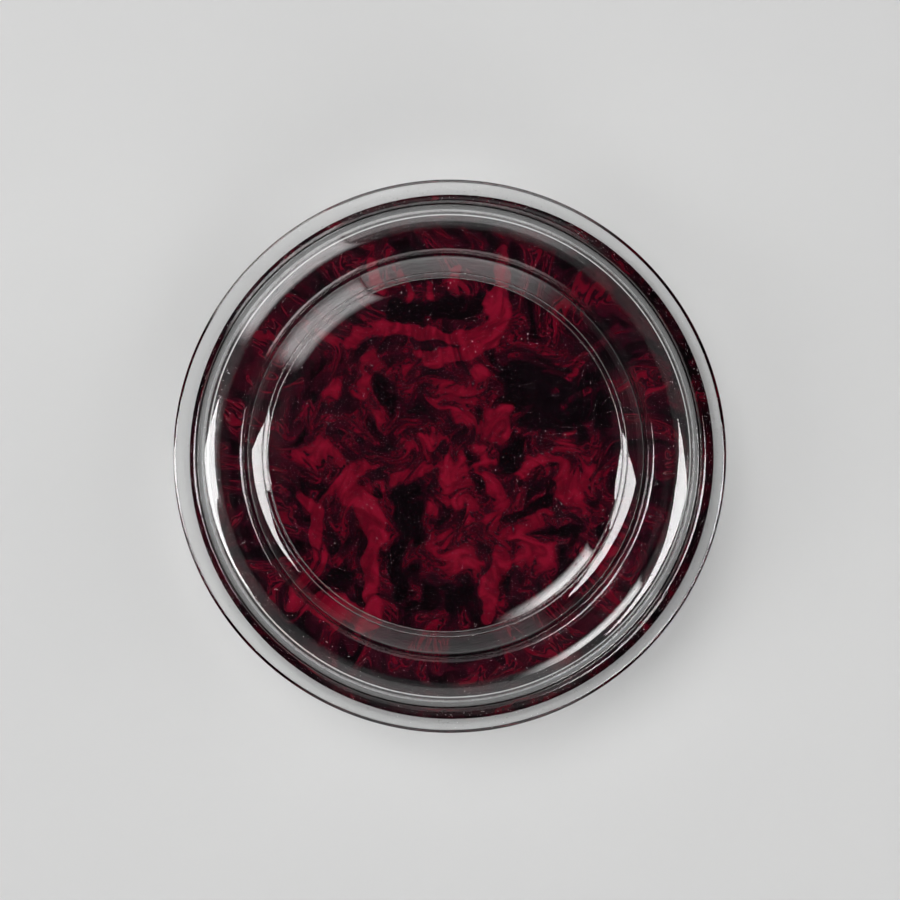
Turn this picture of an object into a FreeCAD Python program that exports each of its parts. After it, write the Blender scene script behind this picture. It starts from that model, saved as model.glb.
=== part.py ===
import FreeCAD, Part
import math
import os
from collections import namedtuple

# A round magnetic pin dish with a clear press-on cover, standing on rubber feet.
# Everything is in millimetres. +Z is up. The origin is on the axis of the dish,
# in the plane that the feet stand on.

# ---------------------------------------------------------------- driving dimensions

# Dish
DISH_R = 50.8           # widest, at the foot of the dish: a four-inch dish
DISH_WALL = 2.2
DISH_BOTTOM_Z = 1.2     # the feet hold the dish this far off the table
LIP_R = 40.6            # circle along the crest of the lip
LIP_TOP_Z = 25.0
LIP_ROUND = 3.5
FLOOR_SPHERE_R = 240.0  # the floor is very slightly dished
FLOOR_EDGE_SLOPE = 7.4  # degrees
CORNER_ROUND = 6.0      # hollow corner between the floor and the sloping inside wall
INSIDE_SLOPE = 34.0     # degrees from level
OUTSIDE_SLOPE = 65.0    # degrees from level, below the lip
SNAP_RIDGE_R = 46.25    # widest point of the ridge that the cover snaps over
SNAP_RIDGE_ROUND = 1.1
WAIST_R = 45.5          # bottom of the groove under the ridge
WAIST_ROUND = 1.2
RIDGE_TO_WAIST = 40.0   # degrees that the wall turns in under the ridge
BELL_SLOPE = 50.0       # degrees from upright where the flared foot ends
FOOT_EDGE_Z = 4.3       # top of the upright edge of the foot
FOOT_EDGE_ROUND = 1.0
FOOT_BOTTOM_ROUND = 0.6

# Inside of the dish
RIB_THICK = 1.4
RIB_COUNT = 8
RIB_BOTTOM_Z = 6.0
RIB_INTO_WALL = 1.1     # how deep ribs and bosses run into the skin, which is 2.2 thick
COLLAR_R = (30.4, 32.0)
COLLAR_BOTTOM_Z = 5.0
SEAT_RIBS_R = (12.5, 31.0)
SIDE_RIBS_R = (30.8, 50.8)
BOSS_R = 3.5
BOSS_BOTTOM_Z = 4.4
PILOT_R = 1.30
PILOT_TOP_Z = 14.4

# Magnet stack
PAD_Z = (14.2, 15.2)
PAD_R = (13.0, 29.0)
MAGNET_Z = (5.4, 14.2)
MAGNET_R = (12.0, 30.0)
MAGNET_CHAMFER = 0.6
KEEPER_Z = (3.9, 5.4)
KEEPER_R = (5.0, 30.0)

# Base plate, screws and feet
BASE_R = 48.3
BASE_TOP_Z = 3.2
BASE_EDGE_CHAMFER = 0.3
BASE_LABEL_R = 26.0     # shallow round recess in the underside
BASE_LABEL_DEEP = 0.4
REBATE_R = 48.6         # the base plate drops into this mouth
KEEPER_RINGS_R = ((10.0, 12.0), (22.0, 24.0))
GUIDE_RING_R = (32.4, 33.8)
GUIDE_RING_TOP_Z = 5.2
FIXING_CIRCLE_R = 40.0  # both the screws and the feet stand on this circle
FIXING_COUNT = 4
SCREW_FIRST_DEG = 45.0
FOOT_FIRST_DEG = 0.0
SCREW_PAD_R = 4.6
SCREW_HEAD_R = 2.6
SCREW_HEAD_Z = (1.5, 3.2)
SCREW_HEAD_ROUND = 0.7
SCREW_SHANK_R = 1.22
SCREW_TIP_Z = (12.0, 13.2)
SCREW_SLOT = (3.0, 0.8, 1.0)   # length, width and depth of one arm of the cross recess
COUNTERBORE_R = 3.1
CLEARANCE_HOLE_R = 1.65
PAD_FOOT_R = 5.0
PAD_FOOT_ROUND = 0.8
PAD_FOOT_TOP_Z = 2.0
FOOT_POCKET_R = 5.15

# Cover
COVER_TOP_Z = 36.0
COVER_WALL = 1.3
TOP_FLAT_R = 30.6
TOP_SHOULDER_ROUND = 9.4
TOP_SHOULDER_SLOPE = 48.0      # degrees from level where the shoulder ends
KNUCKLE_ROUND = 1.6
DRAFT = 6.0                    # degrees from upright, on the upper wall
LEDGE_TOP_Z = 26.4
LEDGE_INNER_ROUND = 0.8
LEDGE_EDGE_R = 42.7
LOWER_SHOULDER_ROUND = 5.5
SKIRT_DRAFT = 1.5              # degrees from upright
FLANGE_ROUND_IN = 0.9
FLANGE_TOP_Z = 15.0
FLANGE_BOTTOM_Z = 13.6
COVER_R = 53.0
STACKING_BEADS_R = (33.2, 34.1)
STACKING_BEAD_ROUND = 0.2
SNAP_BEAD_R = 46.42            # leaves 0.17 over the dish's ridge
SNAP_BEAD_Z = 14.7
SNAP_BEAD_HALF = 0.6
SNAP_LEAD_IN = 0.3              # how far the skirt opens out below the bead

OVERRUN = 1.0           # how far a cut runs past the face that it opens

# ---------------------------------------------------------------- drawing helpers

# A round stretch of an outline, between two directions seen from its centre, in
# degrees from outward. A hollow one has the material outside its circle.
Bend = namedtuple("Bend", "centre radius start end hollow")


def on_circle(centre, radius, degrees):
    turn = math.radians(degrees)
    return (centre[0] + radius * math.cos(turn), centre[1] + radius * math.sin(turn))


def start_of(item):
    return on_circle(item.centre, item.radius, item.start) if isinstance(item, Bend) else item


def end_of(item):
    return on_circle(item.centre, item.radius, item.end) if isinstance(item, Bend) else item


def deeper(bend, depth):
    """The same bend on a surface that lies this far inside the material."""
    radius = bend.radius + depth if bend.hollow else bend.radius - depth
    return bend._replace(radius=radius)


def backwards(bend):
    return bend._replace(start=bend.end, end=bend.start)


def in_plane(point):
    return FreeCAD.Vector(point[0], 0, point[1])


def closed_wire(items):
    """One closed wire through points and bends, with straight lines between them."""
    edges = []
    for item, following in zip(items, items[1:] + items[:1]):
        if isinstance(item, Bend):
            middle = on_circle(item.centre, item.radius, (item.start + item.end) / 2)
            points = [in_plane(p) for p in (start_of(item), middle, end_of(item))]
            edges.append(Part.Arc(*points).toShape())
        a = in_plane(end_of(item))
        b = in_plane(start_of(following))
        if a.distanceToPoint(b) > 1e-6:
            edges.append(Part.LineSegment(a, b).toShape())
    return Part.Wire(edges)


def turned(items):
    """The solid that an outline sweeps round the Z axis."""
    face = Part.Face(closed_wire(items))
    return face.revolve(FreeCAD.Vector(0, 0, 0), FreeCAD.Vector(0, 0, 1), 360)


def ring(radii, heights):
    inner, outer = radii
    low, high = heights
    return turned([(inner, low), (outer, low), (outer, high), (inner, high)])


def disc(radius, heights, spot=(0, 0)):
    place = FreeCAD.Vector(spot[0], spot[1], heights[0])
    return Part.makeCylinder(radius, heights[1] - heights[0], place)


def spots_on_circle(radius, count, first_deg):
    return [on_circle((0, 0), radius, first_deg + 360 * n / count) for n in range(count)]


def radial_bar(radii, thick, heights, degrees):
    bar = Part.makeBox(
        radii[1] - radii[0],
        thick,
        heights[1] - heights[0],
        FreeCAD.Vector(radii[0], -thick / 2, heights[0]),
    )
    bar.rotate(FreeCAD.Vector(0, 0, 0), FreeCAD.Vector(0, 0, 1), degrees)
    return bar


def one_solid(shape):
    """The single solid of a finished shape, without leftover seams between its faces."""
    solids = shape.removeSplitter().Solids
    if len(solids) != 1 or not solids[0].isValid():
        raise ValueError("expected one valid solid, found %d" % len(solids))
    return solids[0]


# ---------------------------------------------------------------- dish


def dish_bends():
    """The bends of the dish's visible surface, from its axis to the foot, each worked
    out from the lip so that every stretch runs smoothly into the next."""
    lip_centre = (LIP_R, LIP_TOP_Z - LIP_ROUND)
    lip = Bend(lip_centre, LIP_ROUND, 90 + INSIDE_SLOPE, 90 - OUTSIDE_SLOPE, False)

    floor_edge_r = FLOOR_SPHERE_R * math.sin(math.radians(FLOOR_EDGE_SLOPE))
    corner_r = floor_edge_r - CORNER_ROUND * math.sin(math.radians(FLOOR_EDGE_SLOPE))
    corner_end_r = corner_r + CORNER_ROUND * math.sin(math.radians(INSIDE_SLOPE))
    slope_start = start_of(lip)
    slope_rise = (slope_start[0] - corner_end_r) * math.tan(math.radians(INSIDE_SLOPE))
    corner_end_z = slope_start[1] - slope_rise
    corner_z = corner_end_z + CORNER_ROUND * math.cos(math.radians(INSIDE_SLOPE))
    corner = Bend(
        (corner_r, corner_z), CORNER_ROUND, FLOOR_EDGE_SLOPE - 90, INSIDE_SLOPE - 90, True
    )

    floor_edge_z = start_of(corner)[1]
    floor_centre_z = floor_edge_z + FLOOR_SPHERE_R * math.cos(math.radians(FLOOR_EDGE_SLOPE))
    floor = Bend((0, floor_centre_z), FLOOR_SPHERE_R, -90, FLOOR_EDGE_SLOPE - 90, True)

    ridge_r = SNAP_RIDGE_R - SNAP_RIDGE_ROUND
    facing = math.radians(90 - OUTSIDE_SLOPE)
    along = (LIP_ROUND - SNAP_RIDGE_ROUND) - (ridge_r - LIP_R) * math.cos(facing)
    ridge_z = lip_centre[1] + along / math.sin(facing)
    ridge = Bend(
        (ridge_r, ridge_z), SNAP_RIDGE_ROUND, 90 - OUTSIDE_SLOPE, -RIDGE_TO_WAIST, False
    )

    under_ridge = math.radians(RIDGE_TO_WAIST)
    waist_centre_r = WAIST_R + WAIST_ROUND
    waist_start_r = waist_centre_r - WAIST_ROUND * math.cos(under_ridge)
    ridge_end = end_of(ridge)
    drop = (ridge_end[0] - waist_start_r) / math.sin(under_ridge) * math.cos(under_ridge)
    waist_z = ridge_end[1] - drop - WAIST_ROUND * math.sin(under_ridge)
    waist = Bend((waist_centre_r, waist_z), WAIST_ROUND, 180 - RIDGE_TO_WAIST, 180, True)

    edge_top = Bend(
        (DISH_R - FOOT_EDGE_ROUND, FOOT_EDGE_Z), FOOT_EDGE_ROUND, BELL_SLOPE, 0, False
    )
    bell_end_r = start_of(edge_top)[0]
    bell_round = (bell_end_r - WAIST_R) / (1 - math.cos(math.radians(BELL_SLOPE)))
    bell = Bend((WAIST_R + bell_round, waist_z), bell_round, 180, 180 + BELL_SLOPE, True)

    edge_bottom = Bend(
        (DISH_R - FOOT_BOTTOM_ROUND, DISH_BOTTOM_Z + FOOT_BOTTOM_ROUND),
        FOOT_BOTTOM_ROUND,
        0,
        -90,
        False,
    )
    return floor, corner, lip, ridge, waist, bell, edge_top, edge_bottom


def dish_skin():
    """The dish as one even skin, with a mouth underneath for the base plate."""
    floor, corner, lip, ridge, waist, bell, edge_top, edge_bottom = dish_bends()
    inner_bell = deeper(bell, DISH_WALL)
    mouth_turn = math.acos((inner_bell.centre[0] - REBATE_R) / inner_bell.radius)
    inner_bell = inner_bell._replace(end=180 + math.degrees(mouth_turn))
    outline = [floor, corner, lip, ridge, waist, bell, edge_top, edge_bottom]
    outline += [(REBATE_R, DISH_BOTTOM_Z), backwards(inner_bell)]
    outline += [backwards(deeper(b, DISH_WALL)) for b in (lip, corner, floor)]
    return turned(outline)


def under_the_skin():
    """The room under the dish, up to the middle of its skin, that ribs and bosses may fill."""
    floor, corner, lip, _, _, bell, _, _ = dish_bends()
    inner_bell = deeper(bell, RIB_INTO_WALL)
    outline = [deeper(b, RIB_INTO_WALL) for b in (floor, corner, lip)] + [inner_bell]
    outline += [(end_of(inner_bell)[0], 0), (0, 0)]
    return turned(outline)


def make_dish_body():
    top = LIP_TOP_Z
    inside = [ring(COLLAR_R, (COLLAR_BOTTOM_Z, top))]
    for n in range(RIB_COUNT):
        degrees = 360 * n / RIB_COUNT
        inside.append(radial_bar(SEAT_RIBS_R, RIB_THICK, (PAD_Z[1], top), degrees))
        inside.append(radial_bar(SIDE_RIBS_R, RIB_THICK, (RIB_BOTTOM_Z, top), degrees))
    screws = spots_on_circle(FIXING_CIRCLE_R, FIXING_COUNT, SCREW_FIRST_DEG)
    for spot in screws:
        inside.append(disc(BOSS_R, (BOSS_BOTTOM_Z, top), spot))
    inside = inside[0].multiFuse(inside[1:]).common(under_the_skin())
    body = dish_skin().fuse(inside)
    for spot in screws:
        body = body.cut(disc(PILOT_R, (BOSS_BOTTOM_Z - OVERRUN, PILOT_TOP_Z), spot))
    return one_solid(body)


# ---------------------------------------------------------------- magnet stack


def make_magnet_pad():
    return one_solid(ring(PAD_R, PAD_Z))


def make_ring_magnet():
    inner, outer = MAGNET_R
    low, high = MAGNET_Z
    c = MAGNET_CHAMFER
    outline = [(inner + c, low), (outer - c, low), (outer, low + c), (outer, high - c)]
    outline += [(outer - c, high), (inner + c, high), (inner, high - c), (inner, low + c)]
    return one_solid(turned(outline))


def make_keeper_plate():
    return one_solid(ring(KEEPER_R, KEEPER_Z))


# ---------------------------------------------------------------- underside


def make_base_plate():
    low, high = DISH_BOTTOM_Z, BASE_TOP_Z
    c = BASE_EDGE_CHAMFER
    outline = [(0, low + BASE_LABEL_DEEP), (BASE_LABEL_R - BASE_LABEL_DEEP, low + BASE_LABEL_DEEP)]
    outline += [(BASE_LABEL_R, low), (BASE_R - c, low), (BASE_R, low + c), (BASE_R, high)]
    outline += [(0, high)]
    plate = turned(outline)
    raised = [ring(radii, (high, KEEPER_Z[0])) for radii in KEEPER_RINGS_R]
    raised.append(ring(GUIDE_RING_R, (high, GUIDE_RING_TOP_Z)))
    screws = spots_on_circle(FIXING_CIRCLE_R, FIXING_COUNT, SCREW_FIRST_DEG)
    raised += [disc(SCREW_PAD_R, (high, BOSS_BOTTOM_Z), spot) for spot in screws]
    plate = plate.multiFuse(raised)
    for spot in screws:
        plate = plate.cut(disc(COUNTERBORE_R, (low - OVERRUN, SCREW_HEAD_Z[1]), spot))
        through = (low - OVERRUN, BOSS_BOTTOM_Z + OVERRUN)
        plate = plate.cut(disc(CLEARANCE_HOLE_R, through, spot))
    for spot in spots_on_circle(FIXING_CIRCLE_R, FIXING_COUNT, FOOT_FIRST_DEG):
        plate = plate.cut(disc(FOOT_POCKET_R, (low - OVERRUN, PAD_FOOT_TOP_Z), spot))
    return one_solid(plate)


def make_screw():
    """One self-tapping screw, drawn at its core diameter, head down."""
    low, high = SCREW_HEAD_Z
    head_round = Bend(
        (SCREW_HEAD_R - SCREW_HEAD_ROUND, low + SCREW_HEAD_ROUND), SCREW_HEAD_ROUND, -90, 0, False
    )
    outline = [(0, low), head_round, (SCREW_HEAD_R, high), (SCREW_SHANK_R, high)]
    outline += [(SCREW_SHANK_R, SCREW_TIP_Z[0]), (0, SCREW_TIP_Z[1])]
    screw = turned(outline)
    length, width, depth = SCREW_SLOT
    for degrees in (0, 90):
        along = (-length / 2, length / 2)
        arm = radial_bar(along, width, (low - OVERRUN, low + depth), degrees)
        screw = screw.cut(arm)
    return one_solid(screw)


def make_base_screws():
    screws = []
    for spot in spots_on_circle(FIXING_CIRCLE_R, FIXING_COUNT, SCREW_FIRST_DEG):
        screw = make_screw()
        screw.translate(FreeCAD.Vector(spot[0], spot[1], 0))
        screws.append(screw)
    return Part.makeCompound(screws)


def make_foot(spot):
    edge = Bend(
        (PAD_FOOT_R - PAD_FOOT_ROUND, PAD_FOOT_ROUND), PAD_FOOT_ROUND, -90, 0, False
    )
    foot = turned([(0, 0), edge, (PAD_FOOT_R, PAD_FOOT_TOP_Z), (0, PAD_FOOT_TOP_Z)])
    foot = one_solid(foot)
    foot.translate(FreeCAD.Vector(spot[0], spot[1], 0))
    return foot


# ---------------------------------------------------------------- cover


def cover_bends():
    """The bends of the cover's outside, from the flat top to the edge of the flange."""
    shoulder_end = 90 - TOP_SHOULDER_SLOPE
    shoulder = Bend(
        (TOP_FLAT_R, COVER_TOP_Z - TOP_SHOULDER_ROUND), TOP_SHOULDER_ROUND, 90, shoulder_end, False
    )
    inward = TOP_SHOULDER_ROUND - KNUCKLE_ROUND
    knuckle_centre = on_circle(shoulder.centre, inward, shoulder_end)
    knuckle = Bend(knuckle_centre, KNUCKLE_ROUND, shoulder_end, DRAFT, False)

    wall_end_z = LEDGE_TOP_Z + LEDGE_INNER_ROUND * (1 - math.sin(math.radians(DRAFT)))
    wall_start = end_of(knuckle)
    wall_end_r = wall_start[0] + (wall_start[1] - wall_end_z) * math.tan(math.radians(DRAFT))
    ledge_r = wall_end_r + LEDGE_INNER_ROUND * math.cos(math.radians(DRAFT))
    ledge = Bend(
        (ledge_r, LEDGE_TOP_Z + LEDGE_INNER_ROUND), LEDGE_INNER_ROUND, 180 + DRAFT, 270, True
    )

    lower_shoulder = Bend(
        (LEDGE_EDGE_R, LEDGE_TOP_Z - LOWER_SHOULDER_ROUND),
        LOWER_SHOULDER_ROUND,
        90,
        SKIRT_DRAFT,
        False,
    )
    skirt_start = end_of(lower_shoulder)
    skirt_end_z = FLANGE_TOP_Z + FLANGE_ROUND_IN * (1 - math.sin(math.radians(SKIRT_DRAFT)))
    skirt_end_r = skirt_start[0] + (skirt_start[1] - skirt_end_z) * math.tan(
        math.radians(SKIRT_DRAFT)
    )
    flange_in_r = skirt_end_r + FLANGE_ROUND_IN * math.cos(math.radians(SKIRT_DRAFT))
    flange_in = Bend(
        (flange_in_r, FLANGE_TOP_Z + FLANGE_ROUND_IN), FLANGE_ROUND_IN, 180 + SKIRT_DRAFT, 270, True
    )
    edge_round = (FLANGE_TOP_Z - FLANGE_BOTTOM_Z) / 2
    edge = Bend((COVER_R - edge_round, FLANGE_BOTTOM_Z + edge_round), edge_round, 90, -90, False)
    return shoulder, knuckle, ledge, lower_shoulder, flange_in, edge


def make_snap_cover():
    shoulder, knuckle, ledge, lower_shoulder, flange_in, edge = cover_bends()
    inner_shoulder = deeper(lower_shoulder, COVER_WALL)
    skirt_in_top = end_of(inner_shoulder)
    lean = math.tan(math.radians(SKIRT_DRAFT))
    bead_top_z = SNAP_BEAD_Z + SNAP_BEAD_HALF
    bead_top_r = skirt_in_top[0] + (skirt_in_top[1] - bead_top_z) * lean
    outline = [(0, COVER_TOP_Z), shoulder, knuckle, ledge, lower_shoulder, flange_in, edge]
    outline += [(bead_top_r + SNAP_LEAD_IN, FLANGE_BOTTOM_Z)]
    outline += [(SNAP_BEAD_R, SNAP_BEAD_Z), (bead_top_r, bead_top_z)]
    outline += [backwards(inner_shoulder)]
    outline += [backwards(deeper(b, COVER_WALL)) for b in (ledge, knuckle, shoulder)]
    outline += [(0, COVER_TOP_Z - COVER_WALL)]
    cover = turned(outline)
    for bead_r in STACKING_BEADS_R:
        across = bead_r - shoulder.centre[0]
        rise = math.sqrt(TOP_SHOULDER_ROUND**2 - across**2)
        place = FreeCAD.Vector(0, 0, shoulder.centre[1] + rise)
        cover = cover.fuse(Part.makeTorus(bead_r, STACKING_BEAD_ROUND, place))
    return one_solid(cover)


# ---------------------------------------------------------------- files


def save(shape, node):
    shape.exportStep("parts/" + node + ".step")


os.makedirs("parts", exist_ok=True)
save(make_dish_body(), "dish_body")
save(make_magnet_pad(), "magnet_pad")
save(make_ring_magnet(), "ring_magnet")
save(make_keeper_plate(), "keeper_plate")
save(make_base_plate(), "base_plate")
save(make_base_screws(), "base_screws")
foot_spots = spots_on_circle(FIXING_CIRCLE_R, FIXING_COUNT, FOOT_FIRST_DEG)
for number, foot_spot in enumerate(foot_spots, start=1):
    save(make_foot(foot_spot), "foot_%d" % number)
save(make_snap_cover(), "snap_cover")
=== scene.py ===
import math

import bpy
from mathutils import Matrix, Vector


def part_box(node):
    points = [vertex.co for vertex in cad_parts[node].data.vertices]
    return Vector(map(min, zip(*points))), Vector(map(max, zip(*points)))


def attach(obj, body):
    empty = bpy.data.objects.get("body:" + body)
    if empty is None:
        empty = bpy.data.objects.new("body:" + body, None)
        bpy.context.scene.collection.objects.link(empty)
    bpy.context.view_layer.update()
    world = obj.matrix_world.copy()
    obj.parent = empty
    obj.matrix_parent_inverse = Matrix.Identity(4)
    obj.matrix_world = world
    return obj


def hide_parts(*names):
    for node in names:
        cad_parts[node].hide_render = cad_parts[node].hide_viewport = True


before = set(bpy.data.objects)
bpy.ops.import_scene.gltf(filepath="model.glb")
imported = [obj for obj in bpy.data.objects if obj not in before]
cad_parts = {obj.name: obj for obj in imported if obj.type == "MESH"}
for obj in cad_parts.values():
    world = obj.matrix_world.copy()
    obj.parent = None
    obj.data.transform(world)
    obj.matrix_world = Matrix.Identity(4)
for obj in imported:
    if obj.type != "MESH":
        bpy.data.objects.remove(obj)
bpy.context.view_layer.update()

# ---------------------------------------------------------------- places, from the frame

cover_low, cover_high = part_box("snap_cover")
dish_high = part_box("dish_body")[1]


# ---------------------------------------------------------------- node helpers


class Nodes:
    """A material and short ways of adding nodes to it. Lengths in textures are in mm."""

    def __init__(self, name):
        self.material = bpy.data.materials.new(name)
        self.material.use_nodes = True
        self.tree = self.material.node_tree
        self.shader = self.tree.nodes["Principled BSDF"]
        self.output = self.tree.nodes["Material Output"]

    def fill(self, socket, value):
        if isinstance(value, bpy.types.NodeSocket):
            self.tree.links.new(value, socket)
        else:
            socket.default_value = value

    def add(self, kind, inputs, **settings):
        node = self.tree.nodes.new("ShaderNode" + kind)
        for name, value in settings.items():
            setattr(node, name, value)
        for name, value in inputs.items():
            self.fill(node.inputs[name], value)
        return node

    def set(self, **values):
        """Fills the main shader's sockets: base_color=... fills Base Color."""
        for name, value in values.items():
            words = name.replace("_", " ").title().replace("Ior", "IOR")
            self.fill(self.shader.inputs[words], value)

    def place(self):
        """The point's place on the object, in mm."""
        coordinates = self.add("TexCoord", {}).outputs["Object"]
        return self.vector("SCALE", coordinates, scale=1000)

    def math(self, operation, *values, clamp=False):
        node = self.add("Math", {}, operation=operation, use_clamp=clamp)
        for socket, value in zip(node.inputs, values):
            self.fill(socket, value)
        return node.outputs[0]

    def vector(self, operation, *values, scale=None):
        node = self.add("VectorMath", {}, operation=operation)
        for socket, value in zip(node.inputs, values):
            self.fill(socket, value)
        if scale is not None:
            self.fill(node.inputs["Scale"], scale)
        wanted = "Value" if operation in ("DOT_PRODUCT", "DISTANCE", "LENGTH") else "Vector"
        return node.outputs[wanted]

    def noise(self, vector, size, detail=2.0, roughness=0.5, out="Fac", **inputs):
        """Noise whose lumps are about this many mm across."""
        inputs = {name.title(): value for name, value in inputs.items()}
        inputs.update({"Vector": vector, "Scale": 1 / size, "Detail": detail, "Roughness": roughness})
        return self.add("TexNoise", inputs).outputs[out]

    def line_noise(self, position):
        """Smooth noise along one direction, about 0.5."""
        node = self.add("TexNoise", {"W": position, "Scale": 1.0, "Detail": 0.0}, noise_dimensions="1D")
        return node.outputs["Fac"]

    def spread(self, value, low, high, to_low=0.0, to_high=1.0, smooth=False):
        kind = "SMOOTHSTEP" if smooth else "LINEAR"
        inputs = {"Value": value, "From Min": low, "From Max": high}
        inputs.update({"To Min": to_low, "To Max": to_high})
        return self.add("MapRange", inputs, interpolation_type=kind).outputs["Result"]

    def ramp(self, value, stops):
        node = self.add("ValToRGB", {"Fac": value})
        elements = node.color_ramp.elements
        while len(elements) < len(stops):
            elements.new(1.0)
        for element, (position, colour) in zip(elements, stops):
            element.position = position
            element.color = (*colour, 1)
        return node.outputs["Color"]

    def mix(self, factor, a, b):
        node = self.add("Mix", {}, data_type="RGBA")
        for socket, value in ((node.inputs[0], factor), (node.inputs[6], a), (node.inputs[7], b)):
            self.fill(socket, (*value, 1) if isinstance(value, tuple) else value)
        return node.outputs[2]

    def mix_vectors(self, factor, a, b):
        """Part of the way from a to b."""
        return self.vector("MULTIPLY_ADD", self.vector("SUBTRACT", b, a), factor, a)

    def bump(self, height, depth_mm, normal=None):
        """A bump from a height of 0 to 1 that stands this many mm deep."""
        inputs = {"Height": height, "Distance": depth_mm / 1000}
        if normal is not None:
            inputs["Normal"] = normal
        return self.add("Bump", inputs).outputs["Normal"]


# ---------------------------------------------------------------- marbled plastic

BLACK = (0.0017, 0.0003, 0.0010)
INK = (0.0062, 0.0005, 0.0021)
DARK_MAROON = (0.0165, 0.0011, 0.0042)
MAROON = (0.029, 0.0009, 0.0042)
DEEP_CRIMSON = (0.054, 0.0009, 0.0052)
CRIMSON = (0.083, 0.0013, 0.0072)
BRIGHT = (0.146, 0.0030, 0.0132)

# The largest flows in the floor of the dish, seen from above: start, end and half width,
# all in mm.
DARK_FLOWS = (
    ((15.5, 13.5), (26.0, 8.5), 4.6),
    ((18.0, 7.0), (27.0, 5.5), 2.2),
    ((-10.0, 27.6), (6.0, 29.0), 1.5),
    ((-6.7, -8.6), (-7.6, -13.6), 2.5),
    ((5.6, -1.6), (5.1, -4.8), 1.3),
    ((-0.6, 1.4), (-1.0, 1.0), 0.9),
    ((-12.6, 13.6), (-11.4, 11.6), 1.4),
    ((-9.4, -17.5), (-9.8, -27.0), 1.1),
    ((-2.5, -26.6), (3.5, -26.0), 2.0),
    ((-20.5, -23.0), (-18.0, -26.0), 1.9),
    ((11.5, -12.6), (20.6, -6.4), 0.7),
    ((14.0, -5.5), (20.0, -2.4), 0.6),
    ((13.0, 2.6), (12.6, -2.0), 1.3),
    ((19.6, -10.0), (24.0, -13.4), 1.3),
)
CRIMSON_FLOWS = (
    ((-13.4, 25.0), (-18.0, 21.6), 1.2),
    ((-8.6, 36.0), (-7.6, 30.4), 0.7),
    ((-4.4, 35.0), (-3.4, 30.8), 0.6),
    ((0.6, 35.4), (1.6, 31.0), 0.7),
    ((-13.6, 36.0), (-12.4, 30.8), 0.8),
    ((-14.6, 19.4), (-16.8, 12.0), 1.2),
    ((-15.4, 18.6), (-11.8, 18.0), 1.2),
    ((-20.6, 14.0), (-21.8, 9.0), 0.9),
    ((-1.4, 12.6), (0.6, 11.4), 2.0),
    ((5.4, 14.4), (2.8, 6.0), 1.6),
    ((-3.8, 3.0), (-5.0, -1.0), 1.4),
    ((-5.4, -0.8), (-11.4, -5.4), 1.2),
    ((0.4, -2.6), (1.6, -6.6), 3.3),
    ((-16.2, -1.6), (-19.6, -7.4), 1.5),
    ((-24.8, -0.2), (-23.0, -2.0), 2.5),
    ((-29.0, -7.4), (-25.4, -9.8), 0.9),
    ((-24.0, -18.2), (-21.4, -20.0), 1.1),
    ((1.4, -6.6), (-5.4, -15.4), 1.3),
    ((1.0, -17.8), (1.4, -18.6), 3.8),
    ((6.6, 0.4), (9.2, -10.6), 1.4),
    ((22.8, -8.4), (10.0, -18.4), 1.6),
    ((26.8, 4.4), (15.6, -4.0), 1.5),
    ((24.0, -2.4), (22.6, -8.4), 2.6),
    ((17.2, -19.6), (16.4, -20.8), 3.3),
    ((22.0, 9.2), (26.2, 12.2), 0.6),
    ((20.4, 12.4), (24.2, 15.8), 0.6),
    ((32.0, -13.0), (30.6, -16.6), 2.0),
)
BRIGHT_FLOWS = (
    ((9.8, 38.0), (9.7, 24.6), 1.6),
    ((9.4, 24.2), (6.6, 20.8), 1.7),
    ((7.4, 21.2), (-3.4, 18.4), 1.6),
    ((6.6, 23.0), (-7.0, 23.8), 1.1),
    ((-7.0, 23.8), (-13.0, 25.2), 1.0),
    ((8.9, 7.0), (8.6, 5.6), 2.8),
    ((-16.2, -8.8), (-15.6, -10.6), 2.9),
    ((-15.0, -12.0), (-14.2, -15.4), 1.5),
    ((-14.2, -16.0), (-14.6, -31.0), 1.2),
    ((-14.8, -31.2), (-27.6, -27.2), 2.0),
    ((-25.2, -9.8), (-24.2, -17.6), 0.9),
    ((9.4, -19.6), (7.4, -31.0), 1.4),
)

# A flow starts to show at the first of these distances from its centre line and is full at
# the second, in half widths. A lift moves the marbling along its range of colours.
FLOW_FADE = (1.7, 0.7)
BRIGHT_FLOW_FADE = (1.425, 0.925)
DARK_LIFT = -0.255
CRIMSON_LIFT = 0.24

# Between these two radii, in mm, the marbling turns from swirls into radial streaks.
STREAKS_R = (24, 38)

# The narrow round along the edge of the foot, in mm: how far in from the widest circle its
# smoothing starts and is full, and how far round each point it reaches.
FOOT_EDGE_IN = (1.6, 0.9)
FOOT_EDGE_REACH = 1.6

# Each stir pushes the pattern one way by an amount that depends only on how far across
# that way a point lies, so it stretches and folds the colours without thinning them out:
# direction (degrees), size of the lumps (mm), largest push (mm).
STIRS = (
    (20, 11.0, 9.5),
    (103, 9.0, 8.0),
    (158, 7.0, 6.5),
    (62, 5.4, 5.4),
    (131, 4.2, 4.2),
    (8, 3.2, 3.2),
    (85, 2.4, 2.3),
    (44, 1.8, 1.5),
)
FLOW_STIRS = (
    (70, 9.0, 3.0),
    (160, 6.5, 3.0),
    (28, 5.0, 2.4),
    (118, 4.0, 1.8),
)


def stirred(n, point, stirs, seed):
    """Where a level point is carried by one stir after another."""
    for number, (degrees, size, push) in enumerate(stirs):
        turn = math.radians(degrees)
        across = Vector((-math.sin(turn), math.cos(turn), 0)) / size
        position = n.math("ADD", n.vector("DOT_PRODUCT", point, across), seed + 7.3 * number)
        amount = n.math("MULTIPLY_ADD", n.line_noise(position), push, -push / 2)
        along = n.vector("SCALE", Vector((math.cos(turn), math.sin(turn), 0)), scale=amount)
        point = n.vector("ADD", point, along)
    return point


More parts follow.
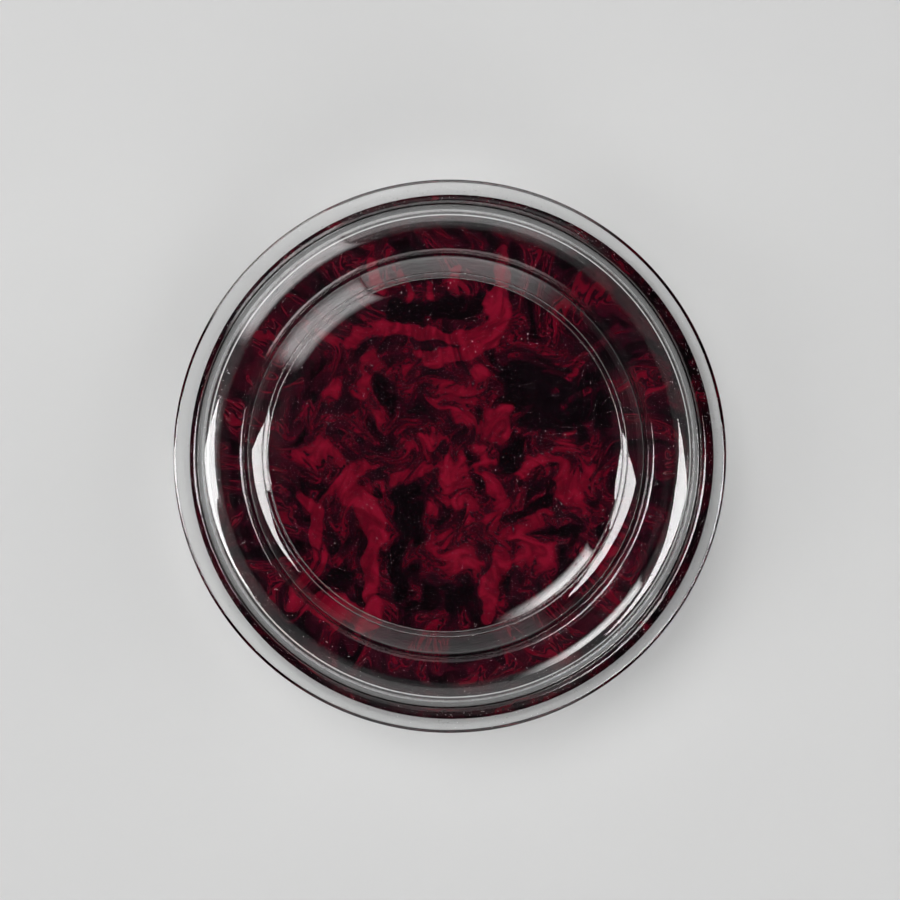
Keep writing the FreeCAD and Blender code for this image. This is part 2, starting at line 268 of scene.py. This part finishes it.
def from_flows(n, point, flows):
    """How far a point is from the nearest flow's centre line, in half widths."""
    nearest_yet = None
    for start, end, half_width in flows:
        a = Vector((*start, 0))
        b = Vector((*end, 0))
        run = b - a
        toward = run / run.length_squared
        along = n.vector("DOT_PRODUCT", point, toward)
        share = n.math("SUBTRACT", along, a.dot(toward), clamp=True)
        nearest = n.vector("MULTIPLY_ADD", run, share, a)
        away = n.math("MULTIPLY", n.vector("DISTANCE", point, nearest), 1 / half_width)
        if nearest_yet is None:
            nearest_yet = away
        else:
            nearest_yet = n.math("SMOOTH_MIN", nearest_yet, away, 0.35)
    return nearest_yet


def streaked(n, place, level, radius):
    """The place from which a point takes its colour. Towards the rim and down the outside
    the places draw together, so that the colours run in radial streaks."""
    outward = n.vector("NORMALIZE", level)
    height = n.add("SeparateXYZ", {"Vector": place}).outputs["Z"]
    below_lip = n.math("SUBTRACT", dish_high.z * 1000, height)
    reach = n.math("MULTIPLY_ADD", radius, 0.5, 15.0)
    reach = n.math("MULTIPLY_ADD", below_lip, 0.25, reach)
    rimward = n.spread(radius, *STREAKS_R, smooth=True)
    shrink = n.math("MULTIPLY", n.math("SUBTRACT", reach, radius), rimward)
    return n.vector("ADD", level, n.vector("SCALE", outward, scale=shrink))


def smoothed_foot_edge(n, radius):
    """Normals that round the edge of the foot, so that light runs along it unbroken."""
    rounded = n.add("Bevel", {"Radius": FOOT_EDGE_REACH / 1000}, samples=8).outputs["Normal"]
    plain = n.add("NewGeometry", {}).outputs["Normal"]
    start, full = (dish_high.x * 1000 - inward for inward in FOOT_EDGE_IN)
    at_edge = n.spread(radius, start, full)
    return n.vector("NORMALIZE", n.mix_vectors(at_edge, plain, rounded))


def marbled_plastic():
    """Glossy plastic in swirls of black and crimson, with the largest flows listed one by one."""
    n = Nodes("marbled_plastic")
    place = n.place()
    level = n.vector("MULTIPLY", place, Vector((1, 1, 0)))
    radius = n.vector("LENGTH", level)

    swirl = stirred(n, streaked(n, place, level, radius), STIRS, 3.1)
    body = n.noise(swirl, 5.0, detail=2.2, roughness=0.5)
    threads = n.noise(swirl, 1.3, detail=1.0, roughness=0.5)
    value = n.math("MULTIPLY_ADD", body, 1.25, -0.185)
    value = n.math("ADD", value, n.math("MULTIPLY_ADD", threads, 0.40, -0.20))

    flow_place = stirred(n, level, FLOW_STIRS, 5.6)
    bulge = n.noise(place, 3.8, detail=1.0, roughness=0.4)
    edge = n.math("MULTIPLY_ADD", bulge, 1.5, -0.75)
    edge = n.math("ADD", edge, n.math("MULTIPLY_ADD", body, -0.7, 0.35))
    for flows, lift in ((DARK_FLOWS, DARK_LIFT), (CRIMSON_FLOWS, CRIMSON_LIFT)):
        away = n.math("ADD", from_flows(n, flow_place, flows), edge)
        value = n.math("MULTIPLY_ADD", n.spread(away, *FLOW_FADE, smooth=True), lift, value)

    # The dip in the middle draws a fine dark line round each patch of crimson.
    colour = n.ramp(
        value,
        (
            (0.25, BLACK),
            (0.34, INK),
            (0.42, DARK_MAROON),
            (0.48, MAROON),
            (0.52, DEEP_CRIMSON),
            (0.545, DARK_MAROON),
            (0.558, INK),
            (0.572, DARK_MAROON),
            (0.60, DEEP_CRIMSON),
            (0.69, CRIMSON),
            (0.88, BRIGHT),
        ),
    )

    # The brightest flows lie over the rest and melt into it at their edges.
    frayed = n.math("MULTIPLY_ADD", threads, 0.15, edge)
    away = n.math("ADD", from_flows(n, flow_place, BRIGHT_FLOWS), frayed)
    tone = n.math("MULTIPLY_ADD", body, 1.1, n.math("MULTIPLY_ADD", threads, 0.45, -0.275))
    flow = n.ramp(tone, ((0.22, MAROON), (0.35, DEEP_CRIMSON), (0.47, CRIMSON), (0.64, BRIGHT)))
    n.set(base_color=n.mix(n.spread(away, *BRIGHT_FLOW_FADE, smooth=True), colour, flow))

    smudge = n.noise(place, 7.0, detail=4.0, roughness=0.6)
    n.set(roughness=n.spread(smudge, 0.3, 0.7, 0.05, 0.08), ior=1.53)
    peel = n.noise(place, 1.6, detail=1.0)
    n.set(normal=n.bump(peel, 0.003, normal=smoothed_foot_edge(n, radius)))
    return n.material


# ---------------------------------------------------------------- clear cover


def clear_plastic():
    """Clear styrene with a few specks. Shadows of it are light, as of a thin clear wall."""
    n = Nodes("clear_plastic")
    place = n.place()
    n.set(base_color=(0.985, 0.99, 0.99, 1), roughness=0.02, ior=1.57, transmission_weight=1.0)
    specks = n.noise(place, 0.35, detail=0.0)
    specks = n.spread(specks, 0.78, 0.82)
    n.set(normal=n.bump(specks, 0.02))
    shadow = n.add("LightPath", {}).outputs["Is Shadow Ray"]
    clear = n.add("BsdfTransparent", {"Color": (0.93, 0.935, 0.935, 1)})
    both = n.add("MixShader", {"Fac": shadow})
    n.tree.links.new(n.shader.outputs[0], both.inputs[1])
    n.tree.links.new(clear.outputs[0], both.inputs[2])
    n.tree.links.new(both.outputs[0], n.output.inputs["Surface"])
    return n.material


# The cover's shape, in mm, with the same dimensions as the CAD cover. It is turned afresh
# here because its rings of quads mirror and bend light more evenly than CAD triangles.
WALL = 1.3
TOP_FLAT_R = 30.6
SHOULDER_ROUND = 9.4
SHOULDER_END = 42              # degrees up from level where the shoulder meets the knuckle
KNUCKLE_ROUND = 1.6
DRAFT = 6.0                    # lean of the upper wall, degrees
LEDGE_DEPTH = 9.6              # below the top
LEDGE_INNER_ROUND = 0.8
LEDGE_EDGE_R = 42.7
LOWER_ROUND = 5.5
SKIRT_DRAFT = 1.5
FLANGE_THICK = 1.4
FLANGE_INNER_ROUND = 0.9
BEADS_R = (33.2, 34.1)
BEAD_ROUND = 0.2
SNAP_BEAD_R = 46.42
SNAP_BEAD_UP = (1.1, 1.7)      # heights of its crest and top above the flange's underside
SNAP_LEAD_IN = 0.3
COVER_SEGMENTS = 300


def along_arc(centre, radius, angle):
    turn = math.radians(angle)
    return (centre[0] + radius * math.cos(turn), centre[1] + radius * math.sin(turn))


def arc(centre, radius, start, end, step=4.0):
    """Points of an arc between two angles, in degrees up from level."""
    count = math.ceil(abs(end - start) / step)
    return [along_arc(centre, radius, start + (end - start) * i / count) for i in range(count + 1)]


def beaded_shoulder(centre):
    """The outside of the top shoulder, with the two fine beads that it carries."""
    crests = [math.degrees(math.acos((r - centre[0]) / SHOULDER_ROUND)) for r in BEADS_R]
    half_span = math.degrees(BEAD_ROUND / SHOULDER_ROUND)
    angles = {float(angle) for angle in range(SHOULDER_END, 91, 3)}
    for crest in crests:
        angles.update(crest + half_span * step / 6 for step in range(-6, 7))
    points = []
    for angle in sorted(angles, reverse=True):
        rise = 0.0
        for crest in crests:
            off = math.radians(angle - crest) * SHOULDER_ROUND
            rise = max(rise, math.sqrt(max(0.0, BEAD_ROUND**2 - off**2)))
        points.append(along_arc(centre, SHOULDER_ROUND + rise, angle))
    return points


def cover_outline():
    """The cover's section from the axis on top, round the flange and back to the axis."""
    top = cover_high.z * 1000
    flange_bottom = cover_low.z * 1000
    flange_top = flange_bottom + FLANGE_THICK
    ledge_z = top - LEDGE_DEPTH
    lean = math.tan(math.radians(DRAFT))
    skirt_lean = math.tan(math.radians(SKIRT_DRAFT))

    shoulder = (TOP_FLAT_R, top - SHOULDER_ROUND)
    knuckle = along_arc(shoulder, SHOULDER_ROUND - KNUCKLE_ROUND, SHOULDER_END)
    wall_top = along_arc(knuckle, KNUCKLE_ROUND, DRAFT)
    wall_end_z = ledge_z + LEDGE_INNER_ROUND * (1 - math.sin(math.radians(DRAFT)))
    wall_end_r = wall_top[0] + (wall_top[1] - wall_end_z) * lean
    ledge_r = wall_end_r + LEDGE_INNER_ROUND * math.cos(math.radians(DRAFT))
    ledge = (ledge_r, ledge_z + LEDGE_INNER_ROUND)
    lower = (LEDGE_EDGE_R, ledge_z - LOWER_ROUND)
    skirt_top = along_arc(lower, LOWER_ROUND, SKIRT_DRAFT)
    skirt_end_z = flange_top + FLANGE_INNER_ROUND * (1 - math.sin(math.radians(SKIRT_DRAFT)))
    skirt_end_r = skirt_top[0] + (skirt_top[1] - skirt_end_z) * skirt_lean
    flange_r = skirt_end_r + FLANGE_INNER_ROUND * math.cos(math.radians(SKIRT_DRAFT))
    edge = (cover_high.x * 1000 - FLANGE_THICK / 2, flange_bottom + FLANGE_THICK / 2)

    points = [(0.0, top)] + beaded_shoulder(shoulder)
    points += arc(knuckle, KNUCKLE_ROUND, SHOULDER_END, DRAFT)[1:]
    points += arc(ledge, LEDGE_INNER_ROUND, 180 + DRAFT, 270, 8)
    points += arc(lower, LOWER_ROUND, 90, SKIRT_DRAFT, 3)
    flange = (flange_r, flange_top + FLANGE_INNER_ROUND)
    points += arc(flange, FLANGE_INNER_ROUND, 180 + SKIRT_DRAFT, 270, 8)
    points += arc(edge, FLANGE_THICK / 2, 90, -90, 10)

    inner_top = along_arc(lower, LOWER_ROUND - WALL, SKIRT_DRAFT)
    bead_top_z = flange_bottom + SNAP_BEAD_UP[1]
    bead_top_r = inner_top[0] + (inner_top[1] - bead_top_z) * skirt_lean
    points.append((bead_top_r + SNAP_LEAD_IN, flange_bottom))
    points.append((SNAP_BEAD_R, flange_bottom + SNAP_BEAD_UP[0]))
    points.append((bead_top_r, bead_top_z))
    points += arc(lower, LOWER_ROUND - WALL, SKIRT_DRAFT, 90)
    points += arc(ledge, LEDGE_INNER_ROUND + WALL, 270, 180 + DRAFT, 6)
    points += arc(knuckle, KNUCKLE_ROUND - WALL, DRAFT, SHOULDER_END, 12)
    points += arc(shoulder, SHOULDER_ROUND - WALL, SHOULDER_END, 90)[1:]
    points.append((0.0, top - WALL))
    return points


def held_straight(points, hold=0.25):
    """Adds a point near each end of a long run, so that smooth shading leaves it straight."""
    held = [points[0]]
    for start, end in zip(points, points[1:]):
        length = math.dist(start, end)
        if length > 4 * hold:
            for share in (hold / length, 1 - hold / length):
                across = (end[0] - start[0]) * share
                up = (end[1] - start[1]) * share
                held.append((start[0] + across, start[1] + up))
        held.append(end)
    return held


def turned(name, outline, segments):
    """A solid of revolution whose outline, in mm, starts and ends on the axis."""
    vertices = []
    faces = []
    rings = []
    for r, z in outline:
        count = 1 if r == 0 else segments
        rings.append(range(len(vertices), len(vertices) + count))
        for step in range(count):
            turn = 2 * math.pi * step / segments
            vertices.append((r * math.cos(turn) / 1000, r * math.sin(turn) / 1000, z / 1000))
    for upper, lower in zip(rings, rings[1:]):
        for step in range(segments):
            following = (step + 1) % segments
            if len(upper) == 1:
                faces.append((upper[0], lower[step], lower[following]))
            elif len(lower) == 1:
                faces.append((upper[step], lower[0], upper[following]))
            else:
                faces.append((upper[step], lower[step], lower[following], upper[following]))
    mesh = bpy.data.meshes.new(name)
    mesh.from_pydata(vertices, [], faces)
    mesh.shade_smooth()
    mesh.set_sharp_from_angle(angle=math.radians(35))
    piece = bpy.data.objects.new(name, mesh)
    bpy.context.scene.collection.objects.link(piece)
    return piece


def snap_cover():
    cover = turned("clear_cover", held_straight(cover_outline()), COVER_SEGMENTS)
    cover.data.materials.append(clear_plastic())
    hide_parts("snap_cover")
    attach(cover, "cover")


# ---------------------------------------------------------------- underside and inner parts


def base_plastic():
    """Black moulded plastic with a fine spark-eroded grain."""
    n = Nodes("base_plastic")
    place = n.place()
    cloud = n.noise(place, 9.0, detail=3.0)
    n.set(base_color=n.mix(cloud, (0.010, 0.0095, 0.0105), (0.017, 0.016, 0.017)), ior=1.5)
    grain = n.noise(place, 0.30, detail=2.0)
    n.set(roughness=n.spread(grain, 0.35, 0.65, 0.42, 0.58))
    n.set(normal=n.bump(grain, 0.03))
    return n.material


def screw_steel():
    """Bright zinc plating: small spangles, a little wear and fine turned grain."""
    n = Nodes("screw_steel")
    place = n.place()
    spangle = n.noise(place, 0.5, detail=3.0)
    n.set(base_color=n.mix(spangle, (0.50, 0.51, 0.53), (0.68, 0.68, 0.66)), metallic=1.0)
    n.set(roughness=n.spread(spangle, 0.3, 0.7, 0.22, 0.38))
    grain = n.noise(n.vector("MULTIPLY", place, Vector((1, 1, 9))), 0.4, detail=1.0)
    n.set(normal=n.bump(grain, 0.006))
    return n.material


def foot_rubber():
    """Dark grey rubber with a chalky bloom."""
    n = Nodes("foot_rubber")
    place = n.place()
    bloom = n.noise(place, 1.8, detail=4.0, roughness=0.6)
    n.set(base_color=n.mix(bloom, (0.018, 0.018, 0.019), (0.050, 0.049, 0.048)), ior=1.5)
    n.set(roughness=n.spread(bloom, 0.3, 0.7, 0.66, 0.84))
    n.set(normal=n.bump(n.noise(place, 0.22, detail=1.0), 0.02))
    return n.material


def foam_tape():
    """Off-white closed-cell foam, its open cells showing on the cut edges, with painted shade in each
    cell's sunken middle.
    """
    n = Nodes("foam_tape")
    place = n.place()
    cells = n.add("TexVoronoi", {"Vector": place, "Scale": 1 / 0.28}).outputs["Distance"]
    # Painted shade: each cell is painted darker in its middle, where the bump sinks it into a pit.
    n.set(base_color=n.mix(cells, (0.44, 0.42, 0.37), (0.70, 0.68, 0.61)), roughness=0.85)
    n.set(normal=n.bump(cells, 0.08))
    return n.material


def ferrite():
    """Sintered ceramic magnet: charcoal, faintly grained, ground on its flat faces."""
    n = Nodes("ferrite")
    place = n.place()
    grain = n.noise(place, 0.25, detail=3.0, roughness=0.6)
    n.set(base_color=n.mix(grain, (0.030, 0.029, 0.029), (0.066, 0.064, 0.062)), ior=1.9)
    ground = n.noise(n.vector("MULTIPLY", place, Vector((1, 14, 1))), 2.5, detail=2.0)
    n.set(roughness=n.spread(ground, 0.3, 0.7, 0.38, 0.58))
    n.set(normal=n.bump(grain, 0.03))
    return n.material


def zinc_steel():
    """Zinc-plated sheet with the rolling grain showing through."""
    n = Nodes("zinc_steel")
    place = n.place()
    rolled = n.noise(n.vector("MULTIPLY", place, Vector((0.05, 1, 1))), 0.6, detail=2.0)
    cloud = n.noise(place, 6.0, detail=3.0)
    n.set(base_color=n.mix(cloud, (0.46, 0.47, 0.49), (0.60, 0.60, 0.59)), metallic=1.0)
    n.set(roughness=n.spread(rolled, 0.3, 0.7, 0.28, 0.44))
    n.set(normal=n.bump(rolled, 0.008))
    return n.material


# ---------------------------------------------------------------- which part is made of what


def painted(names, material):
    for name in names:
        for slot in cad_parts[name].material_slots:
            slot.material = material


painted(["dish_body"], marbled_plastic())
painted(["base_plate"], base_plastic())
painted(["base_screws"], screw_steel())
painted(["foot_1", "foot_2", "foot_3", "foot_4"], foot_rubber())
painted(["magnet_pad"], foam_tape())
painted(["ring_magnet"], ferrite())
painted(["keeper_plate"], zinc_steel())
snap_cover()


# ---------------------------------------------------------------- stage


def pale_paint():
    """Faintly clouded pale grey, with painted shade: light that the cover has mirrored inside itself
    finds the floor painted darker, standing in for the dark box round the real dish."""
    n = Nodes("floor")
    cloud = n.noise(n.place(), 60.0, detail=3.0)
    pale = n.mix(cloud, (0.70, 0.70, 0.70), (0.735, 0.735, 0.73))
    # Painted shade: after one mirroring the floor is painted four fifths of the way to black.
    mirrored = n.add("LightPath", {}).outputs["Glossy Depth"]
    shade = n.spread(mirrored, 0.0, 1.0, 0.0, 0.8)
    n.set(base_color=n.mix(shade, pale, (0.0, 0.0, 0.0)), roughness=0.75)
    return n.material


def rising_floor():
    """A pale floor that rises gently all round."""
    flat_r = 1.0
    bend_r = 1.2
    steepest = 52
    steps = 16
    profile = [(0.0, 0.0), (0.3, 0.0), (flat_r, 0.0)]
    for step in range(1, steps + 1):
        turn = math.radians(steepest * step / steps)
        profile.append((flat_r + bend_r * math.sin(turn), bend_r * (1 - math.cos(turn))))
    count = 96
    vertices = [(0.0, 0.0, 0.0)]
    for r, z in profile[1:]:
        for step in range(count):
            turn = 2 * math.pi * step / count
            vertices.append((r * math.cos(turn), r * math.sin(turn), z))
    faces = []
    for step in range(count):
        faces.append((0, 1 + step, 1 + (step + 1) % count))
    for ring in range(len(profile) - 2):
        low = 1 + ring * count
        for step in range(count):
            following = (step + 1) % count
            faces.append((low + step, low + count + step, low + count + following, low + following))
    mesh = bpy.data.meshes.new("floor")
    mesh.from_pydata(vertices, [], faces)
    mesh.shade_smooth()
    floor = bpy.data.objects.new("floor", mesh)
    bpy.context.scene.collection.objects.link(floor)
    mesh.materials.append(pale_paint())
    floor.visible_glossy = False


def direction(azimuth, polar):
    """The unit direction at these degrees round from +X and down from straight up."""
    turn, lean = math.radians(azimuth), math.radians(polar)
    return Vector((math.sin(lean) * math.cos(turn), math.sin(lean) * math.sin(turn), math.cos(lean)))


def card(name, vertices, faces, radiance, glow=None):
    """A glowing sheet that shows only in reflections. glow dims it point by point."""
    mesh = bpy.data.meshes.new(name)
    mesh.from_pydata(vertices, [], faces)
    n = Nodes(name)
    n.tree.nodes.remove(n.shader)
    strength = radiance
    if glow is not None:
        mesh.attributes.new("glow", "FLOAT", "POINT").data.foreach_set("value", glow)
        read = n.add("Attribute", {}, attribute_name="glow")
        cloth = n.spread(n.noise(n.place(), 90.0, detail=5.0, roughness=0.65), 0.35, 0.65, 0.7, 1.15)
        strength = n.math("MULTIPLY", n.math("MULTIPLY", read.outputs["Fac"], cloth), radiance)
    light = n.add("Emission", {"Strength": strength})
    n.tree.links.new(light.outputs[0], n.output.inputs["Surface"])
    mesh.materials.append(n.material)
    sheet = bpy.data.objects.new(name, mesh)
    bpy.context.scene.collection.objects.link(sheet)
    sheet.visible_camera = False
    sheet.visible_diffuse = False
    sheet.visible_transmission = False
    sheet.visible_shadow = False


def crisp_card(name, corners, distance, radiance):
    """A card whose corners lie in these directions (azimuth, polar) from the dish."""
    vertices = [direction(*corner) * distance for corner in corners]
    card(name, vertices, [tuple(range(len(corners)))], radiance)


def faded(share, near_fade, far_fade):
    """1 in the middle of a span and 0 at its ends, which fade over these shares of it."""
    rise = min(1, max(0, share / near_fade))
    fall = min(1, max(0, (1 - share) / far_fade))
    level = min(rise, fall)
    return level * level * (3 - 2 * level)


def soft_card(name, azimuths, polars, distance, radiance, round_fades, down_fades):
    """A card between two azimuths and two polar angles with edges that fade away."""
    across, down = 24, 16
    vertices = []
    glow = []
    faces = []
    for row in range(down + 1):
        v = row / down
        for column in range(across + 1):
            u = column / across
            azimuth = azimuths[0] + (azimuths[1] - azimuths[0]) * u
            polar = polars[0] + (polars[1] - polars[0]) * v
            vertices.append(direction(azimuth, polar) * distance)
            glow.append(faded(u, *round_fades) * faded(v, *down_fades))
            if row < down and column < across:
                corner = row * (across + 1) + column
                faces.append((corner, corner + 1, corner + across + 2, corner + across + 1))
    card(name, vertices, faces, radiance, glow)


def softbox(name, azimuth, polar, distance, size, watts):
    """A square lamp that lights the dish and casts soft shadows but isn't mirrored."""
    data = bpy.data.lights.new(name, "AREA")
    data.size = size
    data.energy = watts
    lamp = bpy.data.objects.new(name, data)
    bpy.context.scene.collection.objects.link(lamp)
    lamp.location = direction(azimuth, polar) * distance
    lamp.rotation_euler = lamp.location.to_track_quat("Z", "Y").to_euler()
    lamp.visible_camera = False
    lamp.visible_glossy = False
    lamp.visible_transmission = False


def studio():
    softbox("key", 125, 24, 1.5, 0.9, 12.0)
    for number, azimuth in enumerate((-75, 10, 190)):
        softbox("fill_" + str(number + 1), azimuth, 56, 1.6, 0.9, 5.6)

    right = [(11, 34), (-8, 22), (-22, 37), (-33, 45), (-50, 55), (-50, 59), (-25, 62), (-8, 70)]
    crisp_card("card_right", right, 0.62, 14.0)
    left = [(165, 44), (173, 60), (178, 76), (192, 71), (208, 64), (217, 57), (203, 56)]
    left += [(194, 50), (190, 43), (188, 31), (177, 35)]
    crisp_card("card_left", left, 0.62, 14.0)
    soft_card("card_corner", (-34, -78), (8, 38), 0.7, 14.0, (0.06, 0.5), (0.5, 0.08))
    soft_card("window", (117, 153), (12, 94), 1.3, 5.8, (0.06, 0.2), (0.2, 0.45))
    soft_card("panel_far", (122, 52), (36, 94), 1.5, 2.0, (0.1, 0.3), (0.1, 0.1))
    soft_card("panel_near", (-130, -58), (28, 94), 1.5, 0.75, (0.2, 0.1), (0.1, 0.1))

    world = bpy.data.worlds.new("world")
    world.use_nodes = True
    background = world.node_tree.nodes["Background"]
    background.inputs["Color"].default_value = (1.0, 1.0, 1.0, 1)
    background.inputs["Strength"].default_value = 0.005
    bpy.context.scene.world = world
    bpy.context.scene.view_settings.view_transform = "Standard"


# From the middle of the cover's top to the camera, and to the point that it aims at.
EYE_FROM_TOP = Vector((0.033, -0.010, 0.820))
AIM_FROM_TOP = Vector((0.0009, 0.0009, -0.003))


def camera():
    """Above the cover and a little to the right, as for a flat product photograph."""
    data = bpy.data.cameras.new("camera")
    data.sensor_width = 36.0
    data.lens = 175.9
    data.clip_start = 0.05
    data.clip_end = 20.0
    eye = bpy.data.objects.new("camera", data)
    bpy.context.scene.collection.objects.link(eye)
    middle = (cover_low + cover_high) / 2
    top_middle = Vector((middle.x, middle.y, cover_high.z))
    eye.location = top_middle + EYE_FROM_TOP
    back = (EYE_FROM_TOP - AIM_FROM_TOP).normalized()
    right = Vector((0, 1, 0)).cross(back).normalized()
    axes = Matrix((right, back.cross(right), back)).transposed()
    eye.rotation_euler = axes.to_euler()
    bpy.context.scene.camera = eye


rising_floor()
studio()
camera()
